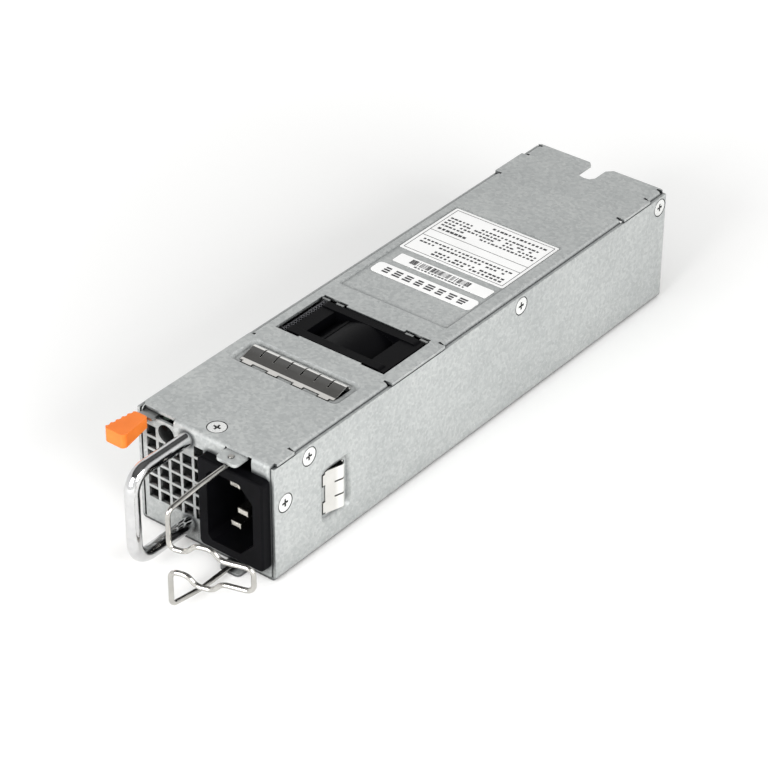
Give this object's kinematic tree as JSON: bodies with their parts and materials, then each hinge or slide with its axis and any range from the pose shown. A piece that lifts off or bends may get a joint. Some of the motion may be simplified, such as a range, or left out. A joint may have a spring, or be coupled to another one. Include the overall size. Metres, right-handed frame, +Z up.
{
  "type": "server power supply",
  "caption": "Hot swap power supply: a long zinc-coated steel case with a bow handle, a mains inlet with a hinged wire bail, a sprung side latch, a fan and a card-edge tongue.",
  "frame": {"origin": "the middle of the case's underside, halfway between the front panel and the rear wall", "axes": "+Z up, +Y along the case from the front panel to the card-edge tongue, +X to the right seen from the front"},
  "size_m": [0.0651, 0.2343, 0.0407],
  "materials": {
    "zinc_sheet": "matt zinc-coated sheet with a fine spangle",
    "screw_steel": "bright zinc-plated",
    "handle_chrome": "polished",
    "spring_wire": "drawn wire",
    "latch_steel": "plated",
    "orange_cap": "moulded, satin",
    "black_moulding": "moulded, satin",
    "blade_metal": "nickel plated",
    "light_lens": "smoked",
    "contact_fingers": "bright plated spring strip",
    "fan_plastic": "moulded",
    "label_paper": "satin film",
    "board_green": "solder mask",
    "gold_contact": "gold plated",
    "capacitor_sleeve": "shrink sleeve",
    "ferrite": "matt",
    "winding_tape": "polyester tape",
    "sink_aluminium": "mill finish",
    "insulator": "satin film",
    "motor_iron": "laminated"
  },
  "bodies": {
    "case": {"chassis": "zinc_sheet", "top_cover": "zinc_sheet", "side_screws": "screw_steel", "front_screws": "screw_steel", "handle_bracket": "latch_steel", "handle": "handle_chrome", "handle_screws": "screw_steel", "inlet_housing": "black_moulding", "power_blades": "blade_metal", "earth_blade": "blade_metal", "status_light": "light_lens", "light_board": "board_green", "latch_bracket": "latch_steel", "latch_rivets": "screw_steel", "latch_pin": "screw_steel", "latch_spring": "spring_wire", "top_finger_strip": "contact_fingers", "side_finger_strip": "contact_fingers", "fan_frame": "fan_plastic", "fan_bearings": "screw_steel", "fan_stator": "motor_iron", "fan_bracket": "latch_steel", "rating_label": "label_paper", "strip_label": "label_paper", "note_label": "label_paper", "main_board": "board_green", "edge_contacts": "gold_contact", "standoffs": "blade_metal", "board_screws": "screw_steel", "insulating_sheet": "insulator", "bulk_capacitors": "capacitor_sleeve", "transformer_core": "ferrite", "transformer_winding": "winding_tape", "output_choke": "winding_tape", "heat_sinks": "sink_aluminium", "output_capacitors": "capacitor_sleeve", "filter_capacitors": "winding_tape"},
    "bail": {"retaining_bail": "spring_wire"},
    "latch": {"latch": "latch_steel", "latch_cap": "orange_cap"},
    "rotor": {"fan_rotor": "fan_plastic", "fan_shaft": "screw_steel"}
  },
  "joints": [
    {"name": "bail_hinge", "type": "hinge", "parent": "case", "child": "bail", "pos_m": [0.0122, -0.1002, 0.0198], "axis": [0, 0, 1], "range_deg": [-33, 90]},
    {"name": "latch_pivot", "type": "hinge", "parent": "case", "child": "latch", "pos_m": [-0.017, -0.07, 0.0384], "axis": [0, 0, 1], "range_deg": [0, 9.5], "stiffness_Nm_per_rad": 0.6, "springref_deg": -8.59, "deforming": ["latch_spring"]},
    {"name": "fan_spin", "type": "hinge", "parent": "case", "child": "rotor", "pos_m": [0, -0.0325, 0.02], "axis": [0, 1, 0], "continuous": true}
  ]
}
